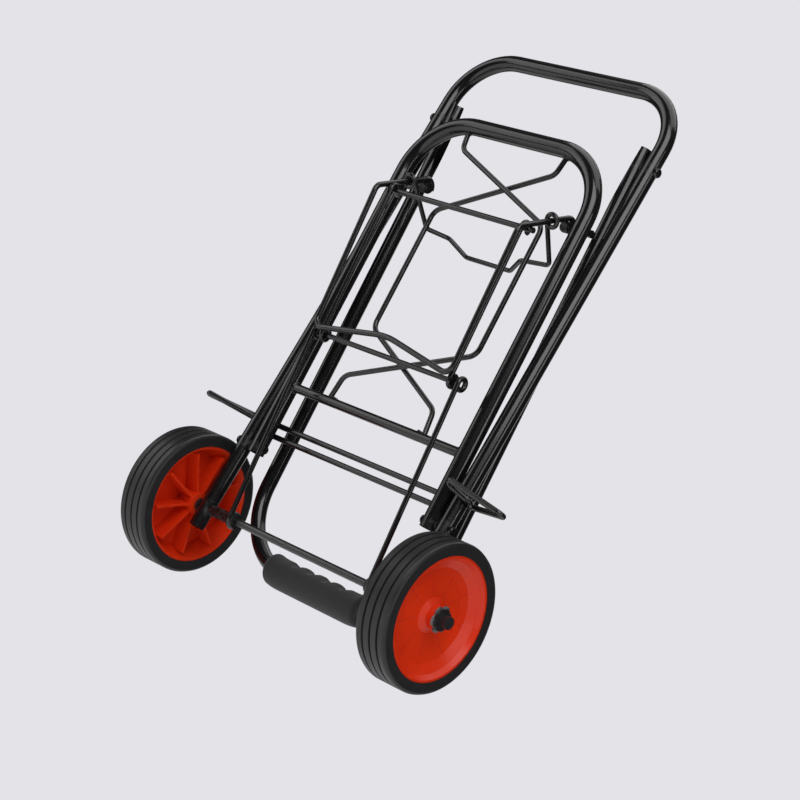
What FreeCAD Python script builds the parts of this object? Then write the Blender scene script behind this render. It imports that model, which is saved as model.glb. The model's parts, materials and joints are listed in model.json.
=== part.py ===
"""Folding luggage cart, stored folded: two red-hubbed wheels on a steel axle, a bent-tube main frame
with a carry bow, a handle frame hinged behind it, a platform frame nested in it, and a wire stand
with two stays that comes down by itself when the platform is lowered.

Axes: X along the axle, Y to the back of the cart, Z up. The origin is on the floor, under the middle
of the axle. All sizes are in millimetres.
"""

import FreeCAD
import Part
import math
import os

V = FreeCAD.Vector
X_AXIS = V(1, 0, 0)

# ---- wheels and axle
wheel_radius = 75.0
wheel_width = 38.0
hub_radius = 62.5
hub_lip = 3.0
hub_web = 3.4
hub_dish_depth = 13.0
hub_boss_radius = 12.0
hub_rib_count = 9
hub_rib_width = 2.4
tread_groove_count = 3
tread_groove_width = 2.6
tread_groove_depth = 1.8
tyre_shoulder = 3.0
axle_radius = 4.0
axle_z = wheel_radius
running_clearance = 0.05
curved_clearance = 0.3

# ---- main frame: one bent tube, its legs straight down to just under the axle
main_half_width = 145.0
main_tube_radius = 8.5
main_bow_height = 574.0
main_bow_bend = 60.0
main_leg_drop = 22.5
tube_wall = 1.2

# ---- handle frame: hinged on rivets near the top of the main frame, hanging down behind it
handle_half_width = 127.0
handle_tube_radius = 8.0
handle_pivot_height = 490.0
handle_length = 514.6
handle_bend = 77.0
handle_tilt = 5.6
handle_end_overhang = 21.0
handle_channel_length = 74.0
grip_half_length = 68.0
grip_radius = 16.7
grip_groove_pitch = 23.0
grip_groove_radius = 7.0
grip_groove_depth = 4.2
grip_end_round = 3.5

# ---- platform frame: hinged low on the main frame, nested between its legs
platform_half_width = 126.0
platform_tube_radius = 9.0
platform_pivot_height = 80.0
platform_length = 398.0
platform_bend = 66.0
platform_tilt = 4.4
platform_end_overhang = 7.0
cross_tube_radius = 5.0
cross_tube_reach = 72.6
mesh_wire_radius = 2.75
mesh_bend = 14.0
mesh_ends = (68.0, 62.0)
mesh_turns = (370.0, 103.0)
mesh_runs = {"left": (83.5, 314.0, 168.0), "right": (62.5, 300.0, 161.0)}

# ---- rivets
rivet_radius = 3.0
rivet_head_radius = 5.2
rivet_head_height = 3.0

# ---- wheel guard: one bent wire behind the main legs, with an ear over each wheel
guard_wire_radius = 3.0
guard_upper_height = 111.7
guard_lower_height = 99.2
guard_ear_reach = 212.0
guard_ear_front = -20.0
guard_ear_height = 109.0

# ---- wire stand, hooked on two bushes of the platform frame
stand_wire_radius = 3.0
stand_half_width = 99.0
stand_foot_half_width = 96.5
hook_reach = 324.4
hook_bush_radius = 6.0
hook_pin_radius = 4.0
hook_open_angle = 12.0
stand_corner = (-75.0, 367.3)
stand_foot = (-51.0, 209.0)
stand_foot_arch = 16.0
foot_rod_place = (-36.0, 209.0)
thin_wire_radius = 2.75
strut_x = 91.0
stay_x = 103.0

# ---- bail that swings on the arms of the stand
bail_wire_radius = 2.5
bail_eye_play = 1.0
bail_corner = (86.5, 8.0, 368.0)
bail_step = (50.0, 8.0, 364.5)
bail_middle = (31.0, 24.0, 356.0)

# ---- axle fittings
sleeve_radius = 6.0
nut_radius = 13.5
nut_thickness = 1.0
cap_flange_radius = 11.0
cap_nose_radius = 6.4
cap_length = 11.0
clip_radius = 8.0
clip_thickness = 2.0
washer_thickness = 4.0


def up(height):
    """Height above the floor of a place that is given above the axle."""
    return axle_z + height


def side_name(side):
    return "right" if side > 0 else "left"


# ---------------------------------------------------------------- wire and tube helpers
def rounded_edges(points, bends):
    """Straight runs through the points, with a tangent arc of its own radius at each inner point."""
    edges = []
    start = points[0]
    for before, corner, after, bend in zip(points, points[1:], points[2:], bends):
        arriving = (corner - before).normalize()
        leaving = (after - corner).normalize()
        half_turn = arriving.getAngle(leaving) / 2
        tangent_length = bend * math.tan(half_turn)
        inwards = (leaving - arriving).normalize()
        arc_start = corner - arriving * tangent_length
        arc_end = corner + leaving * tangent_length
        arc_middle = corner + inwards * (bend / math.cos(half_turn) - bend)
        if (arc_start - start).Length > 0.01:
            edges.append(Part.LineSegment(start, arc_start).toShape())
        edges.append(Part.Arc(arc_start, arc_middle, arc_end).toShape())
        start = arc_end
    edges.append(Part.LineSegment(start, points[-1]).toShape())
    return edges


def swept(edges, radius):
    """Round bar of the given radius along joined edges."""
    path = Part.Wire(edges)
    first = path.OrderedEdges[0]
    start = path.OrderedVertexes[0].Point
    at_start = first.FirstParameter
    if (first.valueAt(at_start) - start).Length > 0.01:
        at_start = first.LastParameter
    profile = Part.Wire(Part.makeCircle(radius, start, first.tangentAt(at_start)))
    return path.makePipeShell([profile], True, False)


def bent_rod(points, bends, radius):
    return swept(rounded_edges(points, bends), radius)


def bent_tube(points, bends, radius, wall):
    return bent_rod(points, bends, radius).cut(bent_rod(points, bends, radius - wall))


def bar_x(low_x, high_x, y, z, radius):
    """Round bar parallel to the axle."""
    return Part.makeCylinder(radius, high_x - low_x, V(low_x, y, z), X_AXIS)


def ring_x(low_x, high_x, y, z, outer, inner):
    return bar_x(low_x, high_x, y, z, outer).cut(bar_x(low_x, high_x, y, z, inner))


def outboard(side, near, far):
    """Low and high X of a piece between two distances from the middle, on one side."""
    return (near, far) if side > 0 else (-far, -near)


def round_the_point(x, centre, radius, from_angle, to_angle):
    """Arc in a plane across the axle, about a (y, z) centre; angles run from +Y towards +Z."""

    def at(angle):
        turn = math.radians(angle)
        return V(x, centre[0] + radius * math.cos(turn), centre[1] + radius * math.sin(turn))

    return Part.Arc(at(from_angle), at((from_angle + to_angle) / 2), at(to_angle)).toShape()


def eyed_wire(x, low, low_eye, high, high_eye, radius, wraps):
    """Straight wire between two (y, z) places, its ends curled round them; the wire runs along the
    front of both eyes. The eye sizes are the radii of the wire's middle line."""
    span = (high[0] - low[0], high[1] - low[1])
    length = math.hypot(*span)
    along = math.degrees(math.atan2(span[1], span[0]))
    lean = math.degrees(math.asin((low_eye - high_eye) / length))
    contact = along + 90 - lean
    turn = math.radians(contact)
    low_point = V(x, low[0] + low_eye * math.cos(turn), low[1] + low_eye * math.sin(turn))
    high_point = V(x, high[0] + high_eye * math.cos(turn), high[1] + high_eye * math.sin(turn))
    edges = [
        round_the_point(x, low, low_eye, contact + wraps[0], contact),
        Part.LineSegment(low_point, high_point).toShape(),
        round_the_point(x, high, high_eye, contact, contact - wraps[1]),
    ]
    return swept(edges, radius)


def riveted(side, tail, head, y, z):
    """Rivet parallel to the axle: a domed head outside at distance head, a flat tail at distance tail."""
    shank = bar_x(*outboard(side, tail, head), y, z, rivet_radius)
    dome = Part.makeSphere(rivet_head_radius, V(side * head, y, z))
    dome_box = Part.makeBox(
        rivet_head_height, 4 * rivet_head_radius, 4 * rivet_head_radius,
        V(min(side * head, side * (head + rivet_head_height)),
          y - 2 * rivet_head_radius, z - 2 * rivet_head_radius),
    )
    tail_plate = bar_x(*outboard(side, tail - 1.6, tail), y, z, rivet_head_radius - 0.8)
    return shank.fuse(dome.common(dome_box)).fuse(tail_plate)


def side_hole(side, half_width, reach, height, radius):
    """Cutter for a hole across a leg: its axis is at y = 0 and it reaches past both walls."""
    return bar_x(*outboard(side, half_width - reach, half_width + reach), 0, height, radius)


# ---------------------------------------------------------------- frames of the folding parts
def platform_point(x, along, behind):
    """Point of the platform frame: along its legs from the pivot, and behind its middle plane."""
    tilt = math.radians(platform_tilt)
    y = -along * math.sin(tilt) + behind * math.cos(tilt)
    z = up(platform_pivot_height) + along * math.cos(tilt) + behind * math.sin(tilt)
    return V(x, y, z)


def handle_point(x, along, behind):
    """Point of the handle frame: down along its legs from the pivot, and behind its middle plane."""
    tilt = math.radians(handle_tilt)
    y = along * math.sin(tilt) + behind * math.cos(tilt)
    z = up(handle_pivot_height) - along * math.cos(tilt) + behind * math.sin(tilt)
    return V(x, y, z)


# ---------------------------------------------------------------- main frame and its fittings
def main_frame():
    foot = up(-main_leg_drop)
    bow = up(main_bow_height)
    points = [
        V(-main_half_width, 0, foot),
        V(-main_half_width, 0, bow),
        V(main_half_width, 0, bow),
        V(main_half_width, 0, foot),
    ]
    tube = bent_tube(points, [main_bow_bend] * 2, main_tube_radius, tube_wall)
    reach = 2 * main_tube_radius
    holes = [(axle_z, axle_radius + running_clearance)]
    holes += [(up(handle_pivot_height), rivet_radius + running_clearance)]
    holes += [(up(platform_pivot_height), rivet_radius + running_clearance)]
    for side in (-1, 1):
        for height, radius in holes:
            tube = tube.cut(side_hole(side, main_half_width, reach, height, radius))
    return tube


def guard_wire():
    """Two rods across the back of the legs, joined at the left by an ear that lies level over the
    wheel; the right ear comes back in front of the leg and is welded to its outer side."""
    behind = main_tube_radius + guard_wire_radius
    ear_half = guard_wire_radius + 0.9
    ear_bend = ear_half - 0.1
    ear_near = guard_ear_front - ear_half
    ear_far = guard_ear_front + ear_half
    leg_side = main_half_width + main_tube_radius
    beside = leg_side + guard_wire_radius + 2
    upper = up(guard_upper_height)
    lower = up(guard_lower_height)
    ear = up(guard_ear_height)
    clip_x = main_half_width - main_tube_radius + guard_wire_radius - 0.9
    clip_front = guard_ear_front - 4
    clip_bend = guard_wire_radius + 0.6
    points = [
        V(leg_side + guard_wire_radius - 0.2, 2, ear + 2),
        V(leg_side + 8, -7, ear + 2),
        V(clip_x, clip_front + 2 * clip_bend, ear + 8),
        V(clip_x, clip_front, ear + 12),
        V(guard_ear_reach, ear_near, ear),
        V(guard_ear_reach, ear_far, ear),
        V(leg_side, behind, upper),
        V(-leg_side, behind, upper),
        V(-guard_ear_reach, ear_far, ear),
        V(-guard_ear_reach, ear_near, ear),
        V(-beside, behind / 2, ear - 0.5),
        V(2 - leg_side, behind, lower),
        V(main_half_width + 2, behind, lower),
    ]
    bends = [6, clip_bend, clip_bend, ear_bend, ear_bend, 12, 12, ear_bend, ear_bend, 6, 6]
    return bent_rod(points, bends, guard_wire_radius)


def wheel_inner_face():
    return main_half_width + main_tube_radius + washer_thickness


def wheel_outer_face():
    return wheel_inner_face() + wheel_width


def axle_ring(side, near, far, outer):
    return ring_x(*outboard(side, near, far), 0, axle_z, outer, axle_radius + running_clearance)


def sleeve(side):
    near = stay_x + thin_wire_radius + curved_clearance
    return axle_ring(side, near, main_half_width - main_tube_radius, sleeve_radius)


def wheel_washer(side):
    leg_side = main_half_width + main_tube_radius
    return axle_ring(side, leg_side, wheel_inner_face() - curved_clearance, sleeve_radius + 1)


def stay_clip(side):
    far = stay_x - thin_wire_radius - curved_clearance
    return axle_ring(side, far - clip_thickness, far, clip_radius)


def push_nut(side):
    """Pressed steel nut with six teeth, which holds the wheel on the axle."""
    near = wheel_boss_face() + curved_clearance
    ring = axle_ring(side, near, near + nut_thickness, nut_radius)
    for tooth in range(6):
        turn = math.radians(60 * tooth)
        notch_y = (nut_radius + 1.5) * math.cos(turn)
        notch_z = axle_z + (nut_radius + 1.5) * math.sin(turn)
        ring = ring.cut(bar_x(*outboard(side, near - 1, near + 3), notch_y, notch_z, 3.4))
    return ring


def axle_cap(side):
    """Plastic cap pressed over the end of the axle: a scalloped flange and a round nose."""
    near = wheel_boss_face() + curved_clearance + nut_thickness
    flange = bar_x(*outboard(side, near, near + 2.6), 0, axle_z, cap_flange_radius)
    for lobe in range(8):
        turn = math.radians(45 * lobe + 22.5)
        notch_y = (cap_flange_radius + 1.6) * math.cos(turn)
        notch_z = axle_z + (cap_flange_radius + 1.6) * math.sin(turn)
        flange = flange.cut(bar_x(*outboard(side, near - 1, near + 4), notch_y, notch_z, 2.6))
    shoulder = bar_x(*outboard(side, near + 2.6, near + 4.6), 0, axle_z, cap_nose_radius + 1.6)
    nose = bar_x(*outboard(side, near + 4.6, near + cap_length), 0, axle_z, cap_nose_radius)
    socket_depth = axle_half_length() - near + curved_clearance
    socket = bar_x(*outboard(side, near - 1, near + socket_depth), 0, axle_z,
                   axle_radius + running_clearance)
    return flange.fuse(shoulder).fuse(nose).cut(socket)


def handle_rivet(side):
    bore = handle_tube_radius - tube_wall
    tail = handle_half_width + math.sqrt(bore ** 2 - rivet_head_radius ** 2)
    return riveted(side, tail, main_half_width + main_tube_radius, 0, up(handle_pivot_height))


def platform_rivet(side):
    tail = platform_half_width - platform_tube_radius - curved_clearance
    return riveted(side, tail, main_half_width + main_tube_radius, 0, up(platform_pivot_height))


def pivot_spacer(side, inner_tube_side, height):
    """Washer on a rivet, between the main leg and the leg that swings on the rivet."""
    near = inner_tube_side + curved_clearance
    far = main_half_width - main_tube_radius
    hole = rivet_radius + running_clearance
    return ring_x(*outboard(side, near, far), 0, up(height), rivet_head_radius, hole)


# ---------------------------------------------------------------- wheels
def wheel_boss_face():
    return wheel_outer_face() - hub_dish_depth + 11.0


def revolved(outline, side):
    """Solid of revolution about the axle; the outline is (distance from the middle, radius)."""
    corners = [V(side * x, 0, axle_z + r) for x, r in outline]
    face = Part.Face(Part.makePolygon(corners + corners[:1]))
    return face.revolve(V(0, 0, axle_z), X_AXIS, 360)


def hub(side):
    """One-piece plastic hub: rim, web, boss, a smooth dish outside and thin ribs inside."""
    inner = wheel_inner_face()
    outer = wheel_outer_face()
    web = outer - hub_dish_depth
    rim_inside = hub_radius - hub_lip
    bore = axle_radius + running_clearance
    boss_end = wheel_boss_face()
    outline = [
        (inner, bore), (inner, hub_boss_radius), (web - hub_web, hub_boss_radius),
        (web - hub_web, rim_inside - 8), (inner + 9, rim_inside - 3), (inner + 2, rim_inside),
        (inner + 1, hub_radius), (outer - 1, hub_radius), (outer - 1, rim_inside + 0.6),
        (web + 7, rim_inside - 3), (web + 1.5, rim_inside - 12), (web, rim_inside - 20),
        (web, hub_boss_radius + 6), (web + 4, hub_boss_radius), (boss_end, hub_boss_radius - 1.5),
        (boss_end, bore),
    ]
    body = revolved(outline, side)
    rib_low, rib_high = outboard(side, inner + 3, web - hub_web + 0.5)
    for index in range(hub_rib_count):
        rib = Part.makeBox(
            rib_high - rib_low, hub_rib_width, rim_inside - 5 - (hub_boss_radius - 1),
            V(rib_low, -hub_rib_width / 2, axle_z + hub_boss_radius - 1),
        )
        rib.rotate(V(0, 0, axle_z), X_AXIS, 360 * index / hub_rib_count)
        body = body.fuse(rib)
    return body


def tyre(side):
    """Solid rubber tyre with rounded shoulders and narrow grooves round the tread."""
    inner = wheel_inner_face()
    outer = wheel_outer_face()
    seat = hub_radius + running_clearance
    outline = [(inner, seat), (inner, wheel_radius - tyre_shoulder)]
    outline += [(inner + tyre_shoulder * 0.3, wheel_radius - tyre_shoulder * 0.3)]
    outline += [(inner + tyre_shoulder, wheel_radius)]
    pitch = wheel_width / (tread_groove_count + 1)
    for index in range(tread_groove_count):
        middle = inner + pitch * (index + 1)
        half = tread_groove_width / 2
        floor = wheel_radius - tread_groove_depth
        outline += [(middle - half, wheel_radius), (middle - half / 2, floor)]
        outline += [(middle + half / 2, floor), (middle + half, wheel_radius)]
    outline += [(outer - tyre_shoulder, wheel_radius)]
    outline += [(outer - tyre_shoulder * 0.3, wheel_radius - tyre_shoulder * 0.3)]
    outline += [(outer, wheel_radius - tyre_shoulder), (outer, seat)]
    return revolved(outline, side)


def axle_half_length():
    return wheel_outer_face() + cap_length * 0.6


# ---------------------------------------------------------------- handle frame
def handle_path():
    top = -handle_end_overhang
    return [
        handle_point(-handle_half_width, top, 0),
        handle_point(-handle_half_width, handle_length, 0),
        handle_point(handle_half_width, handle_length, 0),
        handle_point(handle_half_width, top, 0),
    ]


def handle_frame():
    """Bent tube; the top of each leg is cut open to a channel that faces inwards."""
    tube = bent_tube(handle_path(), [handle_bend] * 2, handle_tube_radius, tube_wall)
    for side in (-1, 1):
        tube = tube.cut(handle_channel_cutter(side))
        tube = tube.cut(side_hole(side, handle_half_width, 2 * handle_tube_radius,
                                  up(handle_pivot_height), rivet_radius + running_clearance))
    return tube


def handle_channel_cutter(side):
    """Wedge that cuts the inner side of a leg away on a slant, deepest at the leg's end."""
    end = -handle_end_overhang - 1
    outline = [
        (handle_half_width + 1, end),
        (handle_half_width - 2 * handle_tube_radius, end),
        (handle_half_width - handle_tube_radius - 0.5, handle_channel_length),
    ]
    front = -2 * handle_tube_radius
    corners = [handle_point(side * x, along, front) for x, along in outline]
    depth = handle_point(0, 0, 2 * handle_tube_radius) - handle_point(0, 0, front)
    return Part.Face(Part.makePolygon(corners + corners[:1])).extrude(depth)


def foam_grip():
    """Foam sleeve over the bar, with finger grooves across its upper side."""
    bar = handle_point(0, handle_length, 0)
    half = grip_half_length
    body = bar_x(-half, half, bar.y, bar.z, grip_radius)
    body = body.makeFillet(grip_end_round, body.Edges)
    body = body.cut(bent_rod(handle_path(), [handle_bend] * 2, handle_tube_radius + running_clearance))
    for index in (-1.5, -0.5, 0.5, 1.5):
        middle = index * grip_groove_pitch
        height = bar.z + grip_radius - grip_groove_depth + grip_groove_radius
        groove = Part.makeCylinder(grip_groove_radius, 60, V(middle, bar.y - 30, height), V(0, 1, 0))
        body = body.cut(groove)
    return body


# ---------------------------------------------------------------- platform frame
def platform_path():
    foot = -platform_end_overhang
    return [
        platform_point(-platform_half_width, foot, 0),
        platform_point(-platform_half_width, platform_length, 0),
        platform_point(platform_half_width, platform_length, 0),
        platform_point(platform_half_width, foot, 0),
    ]


def platform_outside():
    """The platform's tube as a solid bar, to cope the ends of what is welded to it."""
    return bent_rod(platform_path(), [platform_bend] * 2, platform_tube_radius)


def platform_frame():
    tube = bent_tube(platform_path(), [platform_bend] * 2, platform_tube_radius, tube_wall)
    for side in (-1, 1):
        tube = tube.cut(side_hole(side, platform_half_width, 2 * platform_tube_radius,
                                  up(platform_pivot_height), rivet_radius + running_clearance))
    return tube


def platform_cross_tube():
    """Thin tube between the platform's legs, its ends coped to them."""
    middle = platform_point(0, cross_tube_reach, 0)
    half = platform_half_width
    bar = ring_x(-half, half, middle.y, middle.z, cross_tube_radius, cross_tube_radius - tube_wall)
    return bar.cut(platform_outside())


def mesh_wire(side):
    """Wire from the bar to the cross tube. It crosses to the other side, runs straight down there and
    crosses back, so that the two wires make an hourglass. One lies just in front of the other."""
    behind = side * (mesh_wire_radius + 0.05)
    bar_edge = platform_length - platform_tube_radius
    cross_edge = cross_tube_reach + cross_tube_radius
    end_x, turn_x = mesh_ends
    high_turn, low_turn = mesh_turns
    run_x, run_high, run_low = mesh_runs[side_name(side)]
    points = [
        platform_point(side * end_x, bar_edge + 1.5, 0),
        platform_point(side * turn_x, high_turn, behind),
        platform_point(-side * run_x, run_high, behind),
        platform_point(-side * run_x, run_low, behind),
        platform_point(side * turn_x, low_turn, behind),
        platform_point(side * end_x, cross_edge - 1, 0),
    ]
    wire = bent_rod(points, [mesh_bend] * 4, mesh_wire_radius)
    cross = platform_point(0, cross_tube_reach, 0)
    cross_tube = bar_x(-end_x - 30, end_x + 30, cross.y, cross.z, cross_tube_radius)
    return wire.cut(cross_tube).cut(platform_outside())


def hook_place():
    """The (y, z) place of the hook pins, which are welded across the back of the platform's legs."""
    place = platform_point(0, hook_reach, platform_tube_radius + hook_pin_radius)
    return place.y, place.z


def hook_bush_span():
    """From the inner end to the outer end of a hook bush, measured from the middle of the cart."""
    half_length = stand_wire_radius + 1.2
    return stand_half_width - half_length, stand_half_width + half_length


def hook_pin(side):
    """Pin across the back of the platform's leg, with a flat head inside its bush and a collar
    outside it."""
    y, z = hook_place()
    near, far = hook_bush_span()
    head = hook_pin_radius + 1.0
    pin = bar_x(*outboard(side, near, platform_half_width + 5), y, z, hook_pin_radius)
    for end in (near - 2, far + running_clearance):
        pin = pin.fuse(bar_x(*outboard(side, end, end + 2), y, z, head))
    return pin


def hook_bush(side):
    y, z = hook_place()
    return ring_x(*outboard(side, *hook_bush_span()), y, z, hook_bush_radius,
                  hook_pin_radius + running_clearance)


# ---------------------------------------------------------------- wire stand
def stand_loop():
    """One wire: a hook over each bush, arms forward to the top corners, sides down to the feet, and
    a foot bar that arches in the middle."""
    hook = hook_place()
    middle_line = hook_bush_radius + curved_clearance + stand_wire_radius
    corner = (stand_corner[0], up(stand_corner[1]))
    foot = (stand_foot[0], up(stand_foot[1]))
    reach = math.hypot(hook[0] - corner[0], hook[1] - corner[1])
    rise = math.atan2(hook[1] - corner[1], hook[0] - corner[0])
    contact = math.degrees(rise + math.asin(middle_line / reach)) + 90
    turn = math.radians(contact)
    touch = (hook[0] + middle_line * math.cos(turn), hook[1] + middle_line * math.sin(turn))
    half = stand_half_width
    foot_half = stand_foot_half_width
    points = [V(-half, *touch), V(-half, *corner), V(-foot_half, *foot)]
    points += [V(0, foot[0] - 2, foot[1] + stand_foot_arch)]
    points += [V(foot_half, *foot), V(half, *corner), V(half, *touch)]
    edges = [round_the_point(-half, hook, middle_line, hook_open_angle, contact)]
    edges += rounded_edges(points, [9, 10, 90, 10, 9])
    edges += [round_the_point(half, hook, middle_line, contact, hook_open_angle)]
    return swept(edges, stand_wire_radius)


def stand_arm():
    """Top corner of the stand, and the rise of its arm from there to the hook."""
    hook_y, hook_z = hook_place()
    corner_y, corner_z = stand_corner[0], up(stand_corner[1])
    middle_line = hook_bush_radius + curved_clearance + stand_wire_radius
    reach = math.hypot(hook_y - corner_y, hook_z - corner_z)
    rise = math.atan2(hook_z - corner_z, hook_y - corner_y) + math.asin(middle_line / reach)
    return corner_y, corner_z, rise


def crossbar_place():
    """The crossbar lies under both arms of the stand, just behind their top corners."""
    corner_y, corner_z, rise = stand_arm()
    along = 18.5
    below = 2 * stand_wire_radius + 0.05
    y = corner_y + along * math.cos(rise) + below * math.sin(rise)
    z = corner_z + along * math.sin(rise) - below * math.cos(rise)
    return y, z


def stand_crossbar():
    y, z = crossbar_place()
    half = stand_half_width + stand_wire_radius
    return bar_x(-half, half, y, z, stand_wire_radius)


def foot_rod():
    """Rod through the lower eyes of the struts; it stops just short of the stays' eyes."""
    half = stay_x - thin_wire_radius - 0.75
    return bar_x(-half, half, foot_rod_place[0], up(foot_rod_place[1]), thin_wire_radius)


def strut(side):
    """Thin wire from an eye round the foot rod up to a hook over the crossbar."""
    low = (foot_rod_place[0], up(foot_rod_place[1]))
    eye = 2 * thin_wire_radius + running_clearance
    hook = stand_wire_radius + thin_wire_radius + running_clearance
    return eyed_wire(side * strut_x, low, eye, crossbar_place(), hook, thin_wire_radius, (300, 215))


def stay(side):
    """Thin wire from an eye round the axle up to an eye in line with the foot rod."""
    high = (foot_rod_place[0], up(foot_rod_place[1]))
    low_eye = axle_radius + thin_wire_radius + 2 * running_clearance
    high_eye = 2 * thin_wire_radius + 2 * running_clearance
    return eyed_wire(side * stay_x, (0, axle_z), low_eye, high, high_eye, thin_wire_radius, (310, 310))


# ---------------------------------------------------------------- bail
def bail_eye_place():
    """A point of the stand's arm, where an eye of the bail goes round it."""
    corner_y, corner_z, rise = stand_arm()
    along = 48.0
    return corner_y + along * math.cos(rise), corner_z + along * math.sin(rise), rise


def bail():
    """U-shaped wire with a stepped bar, hung by two eyes on the arms of the stand."""
    y, z, rise = bail_eye_place()
    eye = stand_wire_radius + bail_wire_radius + bail_eye_play
    left = [
        V(-stand_half_width + eye, y, z),
        V(-bail_corner[0], bail_corner[1], up(bail_corner[2])),
        V(-bail_step[0], bail_step[1], up(bail_step[2])),
        V(-bail_middle[0], bail_middle[1], up(bail_middle[2])),
    ]
    right = [V(-point.x, point.y, point.z) for point in reversed(left)]
    body = bent_rod(left + right, [6, 8, 8, 8, 8, 6], bail_wire_radius)
    for side in (-1, 1):
        ring = Part.makeTorus(eye, bail_wire_radius, V(side * stand_half_width, y, z),
                              V(0, math.cos(rise), math.sin(rise)))
        body = body.fuse(ring)
    return body


# ---------------------------------------------------------------- parts
def parts():
    """Every piece of the cart, by name."""
    made = {
        "main_frame": main_frame(),
        "axle": bar_x(-axle_half_length(), axle_half_length(), 0, axle_z, axle_radius),
        "guard_wire": guard_wire(),
        "handle_frame": handle_frame(),
        "foam_grip": foam_grip(),
        "platform_frame": platform_frame(),
        "platform_cross_tube": platform_cross_tube(),
        "stand_loop": stand_loop(),
        "stand_crossbar": stand_crossbar(),
        "stand_foot_rod": foot_rod(),
        "bail": bail(),
    }
    pairs = {
        "hub": hub,
        "tyre": tyre,
        "axle_sleeve": sleeve,
        "wheel_washer": wheel_washer,
        "stay_clip": stay_clip,
        "push_nut": push_nut,
        "axle_cap": axle_cap,
        "handle_rivet": handle_rivet,
        "platform_rivet": platform_rivet,
        "mesh_wire": mesh_wire,
        "hook_pin": hook_pin,
        "hook_bush": hook_bush,
        "stand_strut": strut,
        "stay": stay,
    }
    for name, make in pairs.items():
        for side in (-1, 1):
            made[f"{side_name(side)}_{name}"] = make(side)
    handle_side = handle_half_width + handle_tube_radius
    platform_side = platform_half_width + platform_tube_radius
    for side in (-1, 1):
        name = side_name(side)
        made[f"{name}_handle_spacer"] = pivot_spacer(side, handle_side, handle_pivot_height)
        made[f"{name}_platform_spacer"] = pivot_spacer(side, platform_side, platform_pivot_height)
    return made


def main():
    os.makedirs("parts", exist_ok=True)
    for name, shape in parts().items():
        shape.exportStep(os.path.join("parts", name + ".step"))
        print(f"{name:24s} valid {shape.isValid()} solids {len(shape.Solids)} volume {shape.Volume:.0f}")


main()
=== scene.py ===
# %% [markdown]
# # Folding luggage cart
# The cart is shown folded, as it is carried by the bow at the top of its main frame. The metal,
# the wheels and the hinges come from the engineering model, which is loaded first and never moved.
# This lesson adds what an engineering model leaves out: the soft foam grip, the small weld beads,
# and finishes that look like enamel, moulded plastic, rubber, foam and zinc.

import json
import math

import bmesh
import bpy
from mathutils import Matrix, Vector, noise


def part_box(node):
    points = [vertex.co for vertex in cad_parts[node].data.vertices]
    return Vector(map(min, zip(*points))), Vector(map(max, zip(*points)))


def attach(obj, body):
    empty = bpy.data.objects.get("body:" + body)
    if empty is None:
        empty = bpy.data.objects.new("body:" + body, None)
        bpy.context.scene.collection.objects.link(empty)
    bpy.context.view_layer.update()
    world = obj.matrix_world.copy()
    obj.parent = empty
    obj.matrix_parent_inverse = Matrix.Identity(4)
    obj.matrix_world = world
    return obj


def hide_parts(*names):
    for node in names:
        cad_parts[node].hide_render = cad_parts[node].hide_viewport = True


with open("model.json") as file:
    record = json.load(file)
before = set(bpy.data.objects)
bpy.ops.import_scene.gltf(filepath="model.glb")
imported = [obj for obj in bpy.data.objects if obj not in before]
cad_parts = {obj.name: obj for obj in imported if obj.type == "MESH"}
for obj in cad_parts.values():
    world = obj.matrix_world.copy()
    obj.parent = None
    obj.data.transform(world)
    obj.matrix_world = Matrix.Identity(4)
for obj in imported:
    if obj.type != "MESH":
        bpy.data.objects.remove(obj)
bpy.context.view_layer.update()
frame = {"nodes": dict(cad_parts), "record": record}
nodes = frame["nodes"]

# %% [markdown]
# ## Camera
# The cart hangs from a hand, so it is seen leaning. Tilting the whole object would break the
# hinges' places, so the camera is turned instead: it looks a little upwards from the front right
# and is rolled by about thirty degrees. A long lens keeps the two wheels almost the same size.

# %% The camera
CAMERA_PLACE = Vector((1.3525, -1.4784, -0.1101))
CAMERA_AIM = Vector((0.0244, -0.0141, 0.2533))
CAMERA_ROLL = math.radians(30.353)
CAMERA_LENS = 91.017


def make_camera():
    data = bpy.data.cameras.new("camera")
    data.lens = CAMERA_LENS
    data.sensor_width = 36.0
    data.clip_start = 0.05
    data.clip_end = 60.0
    camera = bpy.data.objects.new("camera", data)
    bpy.context.scene.collection.objects.link(camera)
    look = (CAMERA_AIM - CAMERA_PLACE).to_track_quat("-Z", "Y").to_matrix().to_4x4()
    roll = Matrix.Rotation(CAMERA_ROLL, 4, "Z")
    camera.matrix_world = Matrix.Translation(CAMERA_PLACE) @ look @ roll
    bpy.context.scene.camera = camera


make_camera()
print("camera", round((CAMERA_AIM - CAMERA_PLACE).length, 3), "m from what it looks at")

# %% [markdown]
# ## Floor and light
# Black enamel shows almost nothing but its surroundings. Big soft lamps give each tube one broad
# band and one thin line of light, and a pale room all round fills the rest with a dim grey. The
# floor lies below the wheels, because the cart is carried and doesn't touch it.

# %% Floor, lamps and room
FLOOR_HEIGHT = -0.45
FLOOR_RADIUS = 2.0
ROOM_GREY = (0.775, 0.768, 0.807)
ROOM_SEEN = 1.0
ROOM_LIT = 0.05
LAMP_AIM = Vector((0, 0, 0.3))
# name: place, width and height, watts
LAMPS = {
    "lamp_key": ((1.5, -2.0, 1.7), (2.4, 2.0), 50),
    "lamp_left": ((-2.1, -1.5, 0.8), (1.6, 2.4), 18),
    "lamp_right": ((2.5, -0.2, 0.5), (0.5, 1.8), 9),
    "lamp_top": ((0.0, 0.0, 3.2), (3.6, 3.6), 56),
    "lamp_back": ((-1.3, 2.4, 1.3), (2.6, 2.0), 10),
}


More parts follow.
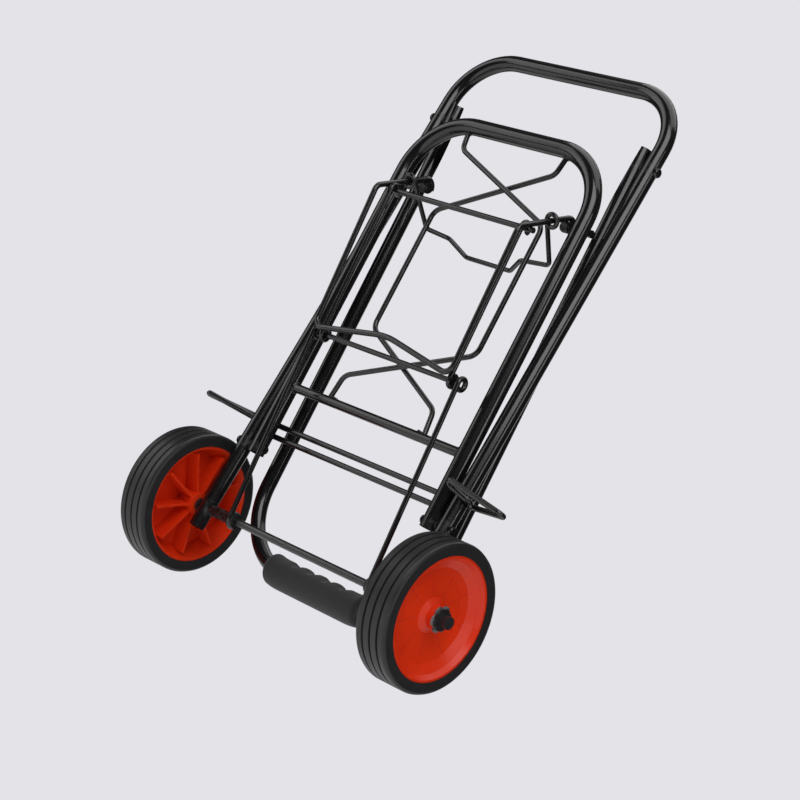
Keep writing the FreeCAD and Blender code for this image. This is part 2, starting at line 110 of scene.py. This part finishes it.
def make_floor():
    shape = bmesh.new()
    bmesh.ops.create_circle(shape, cap_ends=True, segments=96, radius=FLOOR_RADIUS)
    bmesh.ops.translate(shape, verts=shape.verts, vec=(0, 0, FLOOR_HEIGHT))
    mesh = bpy.data.meshes.new("floor")
    shape.to_mesh(mesh)
    shape.free()
    floor = bpy.data.objects.new("floor", mesh)
    bpy.context.scene.collection.objects.link(floor)
    return floor


def make_lamp(name, place, size, power):
    data = bpy.data.lights.new(name, "AREA")
    data.shape = "RECTANGLE"
    data.size, data.size_y = size
    data.energy = power
    lamp = bpy.data.objects.new(name, data)
    bpy.context.scene.collection.objects.link(lamp)
    turn = (LAMP_AIM - Vector(place)).to_track_quat("-Z", "Y").to_matrix().to_4x4()
    lamp.matrix_world = Matrix.Translation(Vector(place)) @ turn


def make_room(strength_seen, strength_lit):
    """A plain pale room that lights the object less than it shows."""
    world = bpy.data.worlds.new("room")
    bpy.context.scene.world = world
    world.use_nodes = True
    tree = world.node_tree
    tree.nodes.clear()
    output = tree.nodes.new("ShaderNodeOutputWorld")
    mixer = tree.nodes.new("ShaderNodeMixShader")
    path = tree.nodes.new("ShaderNodeLightPath")
    lit = tree.nodes.new("ShaderNodeBackground")
    seen = tree.nodes.new("ShaderNodeBackground")
    for background, strength in ((lit, strength_lit), (seen, strength_seen)):
        background.inputs["Color"].default_value = (*ROOM_GREY, 1)
        background.inputs["Strength"].default_value = strength
    tree.links.new(path.outputs["Is Camera Ray"], mixer.inputs[0])
    tree.links.new(lit.outputs[0], mixer.inputs[1])
    tree.links.new(seen.outputs[0], mixer.inputs[2])
    tree.links.new(mixer.outputs[0], output.inputs["Surface"])


floor = make_floor()
make_room(ROOM_SEEN, ROOM_LIT)
for lamp_name, (lamp_place, lamp_size, watts) in LAMPS.items():
    make_lamp(lamp_name, lamp_place, lamp_size, watts)
bpy.context.scene.view_settings.view_transform = "Standard"
bpy.context.scene.view_settings.look = "None"
print("floor at", FLOOR_HEIGHT, "and", len(LAMPS), "soft lamps")

# %% [markdown]
# ## Writing materials as sums
# A procedural material is a sum of patterns. Wiring each Math node by hand hides that, so a small
# class wraps a socket: adding or multiplying two wrapped sockets adds the Math node by itself.


# %% Sockets that can be added and multiplied
class Value:
    def __init__(self, finish, socket):
        self.finish = finish
        self.socket = socket

    def _math(self, operation, *others):
        inputs = dict(enumerate((self, *others)))
        return self.finish.node("ShaderNodeMath", {"operation": operation}, inputs)

    def __add__(self, other):
        return self._math("ADD", other)

    __radd__ = __add__

    def __mul__(self, other):
        return self._math("MULTIPLY", other)

    __rmul__ = __mul__

    def __sub__(self, other):
        return self._math("SUBTRACT", other)

    def __rsub__(self, other):
        return self.finish.node("ShaderNodeMath", {"operation": "SUBTRACT"}, {0: other, 1: self})

    def __pow__(self, other):
        return self._math("POWER", other)

    def clamped(self):
        return self.finish.node("ShaderNodeClamp", {}, {0: self})

    def between(self, low, high):
        """0 at low and 1 at high, smooth in between."""
        settings = {"interpolation_type": "SMOOTHSTEP"}
        return self.finish.node("ShaderNodeMapRange", settings, {0: self, 1: low, 2: high})

    def sine(self):
        return self._math("SINE")

    def root(self):
        return self._math("SQRT")


class Finish:
    """One material: patterns in, one glossy surface out."""

    def __init__(self, name):
        self.material = bpy.data.materials.new(name)
        self.material.use_nodes = True
        self.tree = self.material.node_tree
        self.tree.nodes.clear()
        coordinates = self.tree.nodes.new("ShaderNodeTexCoord")
        self.place = Value(self, coordinates.outputs["Object"])

    def node(self, kind, settings, inputs, output=0):
        made = self.tree.nodes.new(kind)
        for key, value in settings.items():
            setattr(made, key, value)
        for key, value in inputs.items():
            if isinstance(value, Value):
                self.tree.links.new(value.socket, made.inputs[key])
            else:
                made.inputs[key].default_value = value
        return Value(self, made.outputs[output])

    def noise(self, scale, detail=3.0, roughness=0.5, place=None):
        inputs = {"Vector": place or self.place, "Scale": scale, "Detail": detail}
        return self.node("ShaderNodeTexNoise", {}, {**inputs, "Roughness": roughness})

    def cells(self, scale):
        return self.node("ShaderNodeTexVoronoi", {}, {"Vector": self.place, "Scale": scale})

    def stretched(self, factors):
        """The place with each axis scaled, for grain that runs one way."""
        return self.node("ShaderNodeMapping", {}, {"Vector": self.place, "Scale": factors})

    def specks(self, scale, sizes, patches, spread):
        """Small grains, 1 on a grain and 0 between, that gather in patches."""
        grains = (1 - self.cells(scale)).between(*sizes)
        return grains * self.noise(patches).between(*spread)

    def axes(self):
        parts = self.node("ShaderNodeSeparateXYZ", {}, {0: self.place})
        outputs = parts.socket.node.outputs
        return [Value(self, outputs[index]) for index in range(3)]

    def blend(self, factor, first, second):
        """A colour between two colours."""
        inputs = {0: factor}
        for key, colour in ((6, first), (7, second)):
            inputs[key] = colour if isinstance(colour, Value) else (*colour, 1)
        return self.node("ShaderNodeMix", {"data_type": "RGBA"}, inputs, 2)

    def bump(self, height, distance, strength=1.0, under=None):
        inputs = {"Height": height, "Distance": distance, "Strength": strength}
        if under is not None:
            inputs["Normal"] = under
        return self.node("ShaderNodeBump", {}, inputs)

    def surface(self, **sockets):
        named = {key.replace("_", " "): value for key, value in sockets.items()}
        shader = self.node("ShaderNodeBsdfPrincipled", {}, named)
        output = self.tree.nodes.new("ShaderNodeOutputMaterial")
        self.tree.links.new(shader.socket, output.inputs["Surface"])
        return self.material


print("shader helpers ready")

# %% [markdown]
# ## Black enamel
# The tubes and wires are dipped in glossy black enamel. It isn't a perfect mirror: it dries with a
# very fine orange peel, it carries some dust, and it is rubbed dull near the rivets. The rub marks
# are placed by the distance from each hinge's axis, which is known exactly, so they stay where
# metal really turns on metal.

# %% Enamel
AXLE_HEIGHT = 0.075
HANDLE_HINGE_HEIGHT = 0.565
PLATFORM_HINGE_HEIGHT = 0.155
RUB_INNER = 0.006
RUB_OUTER = 0.015


def distance_from_axis(finish, height):
    """Distance from a line along X at a height above the floor."""
    _, y, z = finish.axes()
    lift = z - height
    return (y * y + lift * lift).root()


def make_enamel(name, base, roughness, rub_heights):
    finish = Finish(name)
    cloud = finish.noise(9.0, 3.0)
    smear = finish.noise(60.0, 4.0, 0.6, finish.stretched((1.0, 1.0, 0.25)))
    specks = finish.specks(520.0, (0.86, 0.93), 35.0, (0.52, 0.66))
    scratches = finish.noise(240.0, 2.0, 0.5, finish.stretched((1.0, 1.0, 0.05)))
    scratches = scratches.between(0.66, 0.72)
    rubbed = None
    for height in rub_heights:
        ring = 1 - distance_from_axis(finish, height).between(RUB_INNER, RUB_OUTER)
        rubbed = ring if rubbed is None else rubbed + ring
    rubbed = (rubbed * finish.noise(160.0, 4.0).between(0.42, 0.62)).clamped()
    dusty = tuple(channel + 0.05 for channel in base)
    worn = tuple(channel * 2.0 + 0.012 for channel in base)
    colour = finish.blend(cloud, base, tuple(channel * 1.5 for channel in base))
    colour = finish.blend(specks * 0.25, colour, dusty)
    colour = finish.blend(rubbed * 0.6, colour, worn)
    gloss = roughness + smear * 0.05 + scratches * 0.03 + rubbed * 0.18 + specks * 0.05
    peel = finish.noise(110.0, 1.0)
    relief = finish.bump(peel, 0.0001, 0.3)
    relief = finish.bump(specks, 0.00003, 0.2, relief)
    return finish.surface(
        Base_Color=colour, Roughness=gloss, Normal=relief, Specular_IOR_Level=0.5,
        Coat_Weight=0.25, Coat_Roughness=0.06,
    )


enamel = make_enamel(
    "black_enamel", (0.0045, 0.0045, 0.005), 0.16,
    (AXLE_HEIGHT, HANDLE_HINGE_HEIGHT, PLATFORM_HINGE_HEIGHT),
)
wire_enamel = make_enamel("black_wire_enamel", (0.005, 0.005, 0.0055), 0.2, (AXLE_HEIGHT,))
print("enamel for tubes and for wires")

# %% [markdown]
# ## Orange-red plastic
# The wheels' hubs are injection moulded in one piece. Thick ribs behind the dish shrink as they
# cool and pull faint lines into the smooth front, so the material has nine soft radial lines of
# very low relief, which are also painted darker as painted shade. Fine dust gathers in the dish,
# and the plastic's tone and gloss vary a little in patches.

# %% Hub plastic
RIB_COUNT = 9


def angle_about_axle(finish):
    """Turn about the axle, in radians, and distance from it."""
    _, y, z = finish.axes()
    turn = finish.node("ShaderNodeMath", {"operation": "ARCTAN2"}, {0: y, 1: z - AXLE_HEIGHT})
    return turn, distance_from_axis(finish, AXLE_HEIGHT)


def make_hub_plastic():
    finish = Finish("red_plastic")
    turn, radius = angle_about_axle(finish)
    sink_lines_and_painted_shade = ((turn * RIB_COUNT + math.pi / 2).sine() * 0.5 + 0.5) ** 140.0
    sink_lines_and_painted_shade = sink_lines_and_painted_shade * radius.between(0.016, 0.024) * (1 - radius.between(0.046, 0.054))
    flow = finish.noise(26.0, 3.0, 0.5)
    specks = finish.specks(700.0, (0.87, 0.94), 50.0, (0.55, 0.68))
    colour = finish.blend(flow, (0.62, 0.022, 0.002), (0.70, 0.036, 0.004))
    # The sink lines are painted darker: painted shade in their shallow grooves, not a colour of the
    # plastic.
    colour = finish.blend(sink_lines_and_painted_shade * 0.35, colour, (0.42, 0.010, 0.003))
    colour = finish.blend(specks * 0.5, colour, (0.75, 0.55, 0.48))
    gloss = 0.30 + finish.noise(90.0, 4.0) * 0.12 + specks * 0.3
    relief = finish.bump(sink_lines_and_painted_shade, 0.00025, 0.7)
    relief = finish.bump(finish.noise(700.0, 2.0), 0.00003, 0.4, relief)
    return finish.surface(
        Base_Color=colour, Roughness=gloss, Normal=relief, Specular_IOR_Level=0.28,
        Coat_Weight=0.05, Coat_Roughness=0.1,
    )


hub_plastic = make_hub_plastic()
print("hub plastic with", RIB_COUNT, "sink lines")

# %% [markdown]
# ## Rubber and foam
# The tyres are moulded in solid rubber: charcoal grey, matt, with fine turning marks round the side
# walls and pale specks of grit. Fine arcs round the tyre are painted lighter, as a painted
# highlight.
# The grip's foam is softer still. Its skin is full of tiny cut cells, so it gets cell-shaped relief
# at about a third of a millimetre and never a highlight; the middles of the cells are painted
# darker, as painted shade in them. The caps are lightly grained plastic, the push nuts are
# tarnished zinc, and the floor is plain and pale.

# %% Tyre, foam, small parts and floor
def make_tyre_rubber():
    finish = Finish("tyre")
    turn, radius = angle_about_axle(finish)
    across, _, _ = finish.axes()
    round_the_tyre = finish.node(
        "ShaderNodeCombineXYZ", {}, {0: across * 800.0, 1: turn * 2.0, 2: radius * 800.0},
    )
    streaks_and_painted_shine = finish.noise(1.0, 3.0, 0.6, round_the_tyre)
    rings = (radius * 9000.0).sine() * 0.5 + 0.5
    grit = finish.specks(430.0, (0.84, 0.92), 24.0, (0.44, 0.60))
    cloud = finish.noise(18.0, 5.0, 0.6)
    colour = finish.blend(cloud, (0.010, 0.010, 0.011), (0.017, 0.017, 0.018))
    colour = finish.blend(grit * 0.45, colour, (0.16, 0.155, 0.15))
    # Lighter arcs round the tyre: a painted highlight standing in for the shine along the tread.
    colour = finish.blend(streaks_and_painted_shine.between(0.55, 0.75) * 0.5, colour, (0.045, 0.045, 0.046))
    gloss = 0.62 + cloud * 0.10 + grit * 0.2 - streaks_and_painted_shine * 0.55
    relief = finish.bump(rings + streaks_and_painted_shine * 4.0, 0.00003, 0.6)
    relief = finish.bump(finish.noise(1100.0, 3.0), 0.00008, 0.4, relief)
    relief = finish.bump(grit, 0.0002, 0.5, relief)
    return finish.surface(Base_Color=colour, Roughness=gloss, Normal=relief, Specular_IOR_Level=0.4)


def make_foam():
    finish = Finish("foam")
    pores_and_painted_shade = finish.cells(2600.0)
    coarse = finish.cells(1100.0)
    cloud = finish.noise(40.0, 5.0, 0.65)
    colour = finish.blend(cloud, (0.016, 0.016, 0.0165), (0.027, 0.027, 0.028))
    # The middles of the cells are painted darker: painted shade in the pits of the foam.
    colour = finish.blend((1 - pores_and_painted_shade).between(0.55, 0.95) * 0.5, colour, (0.010, 0.010, 0.011))
    relief = finish.bump(pores_and_painted_shade * 0.7 + coarse * 0.5, 0.00018, 0.6)
    return finish.surface(
        Base_Color=colour, Roughness=0.80 + cloud * 0.15, Normal=relief, Specular_IOR_Level=0.25,
        Sheen_Weight=0.15, Sheen_Roughness=0.6,
    )


def make_black_plastic():
    finish = Finish("black_plastic")
    cloud = finish.noise(60.0, 4.0)
    colour = finish.blend(cloud, (0.008, 0.008, 0.009), (0.015, 0.015, 0.016))
    gloss = 0.34 + finish.noise(120.0, 3.0) * 0.2
    relief = finish.bump(finish.noise(1500.0, 2.0), 0.00005, 0.5)
    return finish.surface(Base_Color=colour, Roughness=gloss, Normal=relief, Specular_IOR_Level=0.5)


def make_zinc():
    finish = Finish("zinc_steel")
    radius = distance_from_axis(finish, AXLE_HEIGHT)
    spangle = finish.cells(420.0)
    brushed = (radius * 16000.0).sine() * 0.5 + 0.5
    tarnish = finish.noise(300.0, 4.0).between(0.4, 0.7)
    colour = finish.blend(spangle, (0.50, 0.50, 0.51), (0.66, 0.66, 0.66))
    colour = finish.blend(tarnish * 0.5, colour, (0.26, 0.25, 0.24))
    relief = finish.bump(brushed + spangle, 0.00003, 0.4)
    return finish.surface(
        Base_Color=colour, Roughness=0.30 + tarnish * 0.25, Metallic=1 - tarnish * 0.3,
        Normal=relief,
    )


def make_floor_finish():
    finish = Finish("floor_finish")
    shade = finish.noise(1.5, 2.0)
    colour = finish.blend(shade, (0.90, 0.90, 0.92), (0.93, 0.93, 0.95))
    return finish.surface(
        Base_Color=colour, Roughness=0.75 + shade * 0.1, Emission_Color=colour,
        Emission_Strength=0.22,
    )


floor.data.materials.append(make_floor_finish())
finishes = {
    "black_enamel": enamel,
    "black_wire": wire_enamel,
    "red_plastic": hub_plastic,
    "tyre": make_tyre_rubber(),
    "foam": make_foam(),
    "black_plastic": make_black_plastic(),
    "zinc_steel": make_zinc(),
}
slot_of = {row["node"]: row["material_slot"] for row in frame["record"]["subparts"]}
for name, node in nodes.items():
    node.data.materials.clear()
    node.data.materials.append(finishes[slot_of[name]])
print("finishes given to", len(nodes), "nodes")

# %% [markdown]
# ## Weld beads
# Wires and rods are resistance-welded or brazed to the tubes, which leaves a small uneven collar.
# An engineering model stops at the clean contact line, so each joint gets a bead here. A bead is a
# small circle spun into a ring round the wire, pressed on to the curve of the tube, and roughened.
# The beads follow the platform's legs, which lean a few degrees.

# %% Beads round the ends of wires and tubes
WELD_SEED = Vector((3.1, 7.7, 1.9))
BEAD_OVERHANG = 0.2
BEAD_GRAIN = 900.0
BEAD_UNEVEN = 0.0003


def finish_piece(shape, name, body, slot):
    """Turn a bmesh into an object that rides on a body and wears a finish."""
    bmesh.ops.recalc_face_normals(shape, faces=shape.faces)
    mesh = bpy.data.meshes.new(name)
    shape.to_mesh(mesh)
    shape.free()
    mesh.shade_smooth()
    piece = bpy.data.objects.new(name, mesh)
    bpy.context.scene.collection.objects.link(piece)
    mesh.materials.append(finishes[slot])
    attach(piece, body)
    return piece


def roughen(shape, scale, amount):
    """Push every vertex in or out a little, always the same way on every run."""
    for vert in shape.verts:
        wave = noise.noise(vert.co * scale + WELD_SEED)
        vert.co += vert.normal * wave * amount


def weld_ring(shape, centre, into, radius, tube_radius, thickness):
    """A bead round a wire, where it runs into a tube. The ring is bent round the tube, which its
    own Y axis crosses."""
    ring = bmesh.new()
    stand_up = Matrix.Rotation(math.pi / 2, 4, "X")
    stand_up = Matrix.Translation((radius + thickness * BEAD_OVERHANG, 0, 0)) @ stand_up
    bmesh.ops.create_circle(ring, segments=10, radius=thickness, matrix=stand_up)
    section = list(ring.verts) + list(ring.edges)
    bmesh.ops.spin(
        ring, geom=section, cent=(0, 0, 0), axis=(0, 0, 1), angle=math.tau, steps=28,
        use_merge=True,
    )
    for vert in ring.verts:
        across = min(abs(vert.co.y), tube_radius * 0.98)
        vert.co.z += tube_radius - math.sqrt(tube_radius ** 2 - across ** 2)
    ring.normal_update()
    turn = into.to_track_quat("Z", "X").to_matrix().to_4x4()
    bmesh.ops.transform(ring, matrix=Matrix.Translation(centre) @ turn, verts=ring.verts)
    ring.normal_update()
    roughen(ring, BEAD_GRAIN, BEAD_UNEVEN)
    part = bpy.data.meshes.new("bead")
    ring.to_mesh(part)
    ring.free()
    shape.from_mesh(part)
    bpy.data.meshes.remove(part)


PLATFORM_TILT = math.radians(4.4)
PLATFORM_HALF_WIDTH = 0.126
PLATFORM_TUBE_RADIUS = 0.009
PLATFORM_LENGTH = 0.398
CROSS_TUBE_REACH = 0.0726
CROSS_TUBE_RADIUS = 0.005
CROSS_TUBE_RISE = 0.0053
CROSS_TUBE_BEAD = 0.0013
MESH_WIRE_RADIUS = 0.00275
MESH_WIRE_BEAD = 0.0011
MESH_ENDS_AT_BAR = 0.068
MESH_ENDS_AT_CROSS = 0.062


def platform_place(x, along):
    """A point of the platform's middle plane, measured up its legs from the hinge."""
    lift = PLATFORM_HINGE_HEIGHT + along * math.cos(PLATFORM_TILT)
    return Vector((x, -along * math.sin(PLATFORM_TILT), lift))


up_the_legs = platform_place(0, 1) - platform_place(0, 0)
beads = bmesh.new()
for side in (-1, 1):
    # each bead starts a fraction of a millimetre clear of its tube
    leg_face = side * (PLATFORM_HALF_WIDTH - PLATFORM_TUBE_RADIUS - 0.0004)
    outward = Vector((side, 0, 0))
    weld_ring(
        beads, platform_place(leg_face, CROSS_TUBE_REACH), outward,
        CROSS_TUBE_RADIUS, PLATFORM_TUBE_RADIUS, CROSS_TUBE_BEAD,
    )
    bar_face = PLATFORM_LENGTH - PLATFORM_TUBE_RADIUS - 0.0003
    weld_ring(
        beads, platform_place(side * MESH_ENDS_AT_BAR, bar_face), up_the_legs,
        MESH_WIRE_RADIUS, PLATFORM_TUBE_RADIUS, MESH_WIRE_BEAD,
    )
    cross_face = CROSS_TUBE_REACH + CROSS_TUBE_RISE
    weld_ring(
        beads, platform_place(side * MESH_ENDS_AT_CROSS, cross_face), -up_the_legs,
        MESH_WIRE_RADIUS, CROSS_TUBE_RADIUS, MESH_WIRE_BEAD,
    )
platform_beads = finish_piece(beads, "platform_weld_beads", "platform", "black_enamel")
print("platform beads:", len(platform_beads.data.polygons), "faces")

# %% [markdown]
# ## Tacks
# The guard's rods lie across the backs of the legs and are tacked there. A tack is a short drop of
# metal in the groove between rod and tube: an icosphere is stretched along the groove and
# roughened.

# %% Tacks along the rods
MAIN_HALF_WIDTH = 0.145
ROD_HEIGHTS = (0.1867, 0.1742)
GROOVE_SHIFT = 0.0026
TACK_BEHIND = 0.0097
TACK_SIZE = (0.0042, 0.0016, 0.0015)


def weld_tack(shape, place, size):
    """A drop of weld with half-sizes along X, Y and Z."""
    stretched = Matrix.Diagonal((*size, 1))
    drop = bmesh.ops.create_icosphere(shape, subdivisions=3, radius=1.0, matrix=stretched)["verts"]
    for vert in drop:
        wave = noise.noise(vert.co * 700.0 + Vector(place) * 90.0)
        vert.co *= 1 + 0.25 * wave
    bmesh.ops.translate(shape, verts=drop, vec=place)


tacks = bmesh.new()
for side in (-1, 1):
    for rod_height in ROD_HEIGHTS:
        for shift in (-GROOVE_SHIFT, GROOVE_SHIFT):
            place = (side * MAIN_HALF_WIDTH, TACK_BEHIND, rod_height + shift)
            weld_tack(tacks, place, TACK_SIZE)
guard_tacks = finish_piece(tacks, "guard_weld_tacks", "frame", "black_enamel")
print("guard tacks:", len(guard_tacks.data.polygons), "faces")

# %% [markdown]
# ## Foam grip
# The grip is a soft foam sleeve pushed over the bar. It could be a plain cylinder with cuts, but
# foam has no hard corners. So a circle is extruded out, along and back in to make a closed tube,
# its rims are rounded with a bevel, and its long faces are divided so that they can be shaped.

# %% The plain sleeve
grip_low, grip_high = (Vector(corner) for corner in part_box("foam_grip"))
grip_middle = (grip_low + grip_high) / 2
grip_half_length = (grip_high.x - grip_low.x) / 2
grip_radius = (grip_high.y - grip_low.y) / 2
GRIP_BORE = 0.00805
GRIP_ROUNDING = 0.0042


def extrude_rim(shape, edges):
    """Grow a band of faces from a rim, and give the new rim's points and edges."""
    grown = bmesh.ops.extrude_edge_only(shape, edges=edges)["geom"]
    points = [item for item in grown if isinstance(item, bmesh.types.BMVert)]
    rim = [item for item in grown if isinstance(item, bmesh.types.BMEdge) and item.is_boundary]
    return points, rim


def make_sleeve():
    """A tube of foam along X, round the origin."""
    shape = bmesh.new()
    bmesh.ops.create_circle(
        shape, segments=72, radius=GRIP_BORE,
        matrix=Matrix.Translation((-grip_half_length, 0, 0)) @ Matrix.Rotation(math.pi / 2, 4, "Y"),
    )
    points, rim = extrude_rim(shape, list(shape.edges))
    widen = grip_radius / GRIP_BORE
    narrow = GRIP_BORE / grip_radius
    bmesh.ops.scale(shape, vec=(1, widen, widen), verts=points)
    points, rim = extrude_rim(shape, rim)
    bmesh.ops.translate(shape, vec=(2 * grip_half_length, 0, 0), verts=points)
    points, rim = extrude_rim(shape, rim)
    bmesh.ops.scale(shape, vec=(1, narrow, narrow), verts=points)
    open_rims = [edge for edge in shape.edges if edge.is_boundary]
    bmesh.ops.bridge_loops(shape, edges=open_rims)
    return shape


def from_bar(vert):
    return math.hypot(vert.co.y, vert.co.z)


sleeve = make_sleeve()
corners = [
    edge for edge in sleeve.edges
    if min(from_bar(vert) for vert in edge.verts) > grip_radius * 0.99
    and abs(edge.verts[0].co.x - edge.verts[1].co.x) < 1e-6
]
bmesh.ops.bevel(
    sleeve, geom=corners, offset=GRIP_ROUNDING, offset_type="OFFSET", affect="EDGES",
    segments=7, profile=0.5, material=-1, clamp_overlap=True,
)
long_edges = [edge for edge in sleeve.edges if edge.calc_length() > grip_half_length]
bmesh.ops.subdivide_edges(sleeve, edges=long_edges, cuts=118, use_grid_fill=True)
print("sleeve:", len(sleeve.verts), "points,", round(2000 * grip_half_length), "mm long")

# %% [markdown]
# ## Finger dents
# Four fingers have their places in the foam. The dents could be cut out with balls, which leaves
# sharp rims, so each point is moved in by a soft falloff instead. Then the sleeve is bent with the
# bar, whose corners begin just inside the grip's ends.

# %% Press the finger dents and bend the sleeve
DENT_PITCH = 0.023
DENT_PLACES = [index * DENT_PITCH for index in (-1.5, -0.5, 0.5, 1.5)]
DENT_HALF_WIDTH = 0.0088
DENT_HALF_ANGLE = math.radians(48)
DENT_TURN = math.radians(-6)
DENT_DEPTH = 0.0042
DENT_ROUNDNESS = 0.7
BAR_STRAIGHT = 0.050
BAR_BEND = 0.077
HANDLE_TILT = math.radians(5.6)


def dent_at(x, turn):
    """How deep the foam is pressed in at a place along the bar and a turn from the top."""
    depth = 0.0
    for dent in DENT_PLACES:
        along = (x - dent) / DENT_HALF_WIDTH
        around = (turn - DENT_TURN) / DENT_HALF_ANGLE
        inside = 1 - along * along - around * around
        if inside > 0:
            depth = max(depth, DENT_DEPTH * inside ** DENT_ROUNDNESS)
    return depth


for vert in sleeve.verts:
    radius = from_bar(vert)
    if radius > grip_radius * 0.8:
        turn = math.atan2(vert.co.y, vert.co.z)
        factor = (radius - dent_at(vert.co.x, turn)) / radius
        vert.co.y *= factor
        vert.co.z *= factor
    past = abs(vert.co.x) - BAR_STRAIGHT
    if past > 0:
        rise = BAR_BEND - math.sqrt(BAR_BEND ** 2 - past ** 2)
        vert.co.y -= rise * math.sin(HANDLE_TILT)
        vert.co.z += rise * math.cos(HANDLE_TILT)
bmesh.ops.translate(sleeve, vec=grip_middle, verts=sleeve.verts)
foam_sleeve = finish_piece(sleeve, "foam_sleeve", "handle", "foam")
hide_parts("foam_grip")
print("foam sleeve:", len(foam_sleeve.data.polygons), "faces")
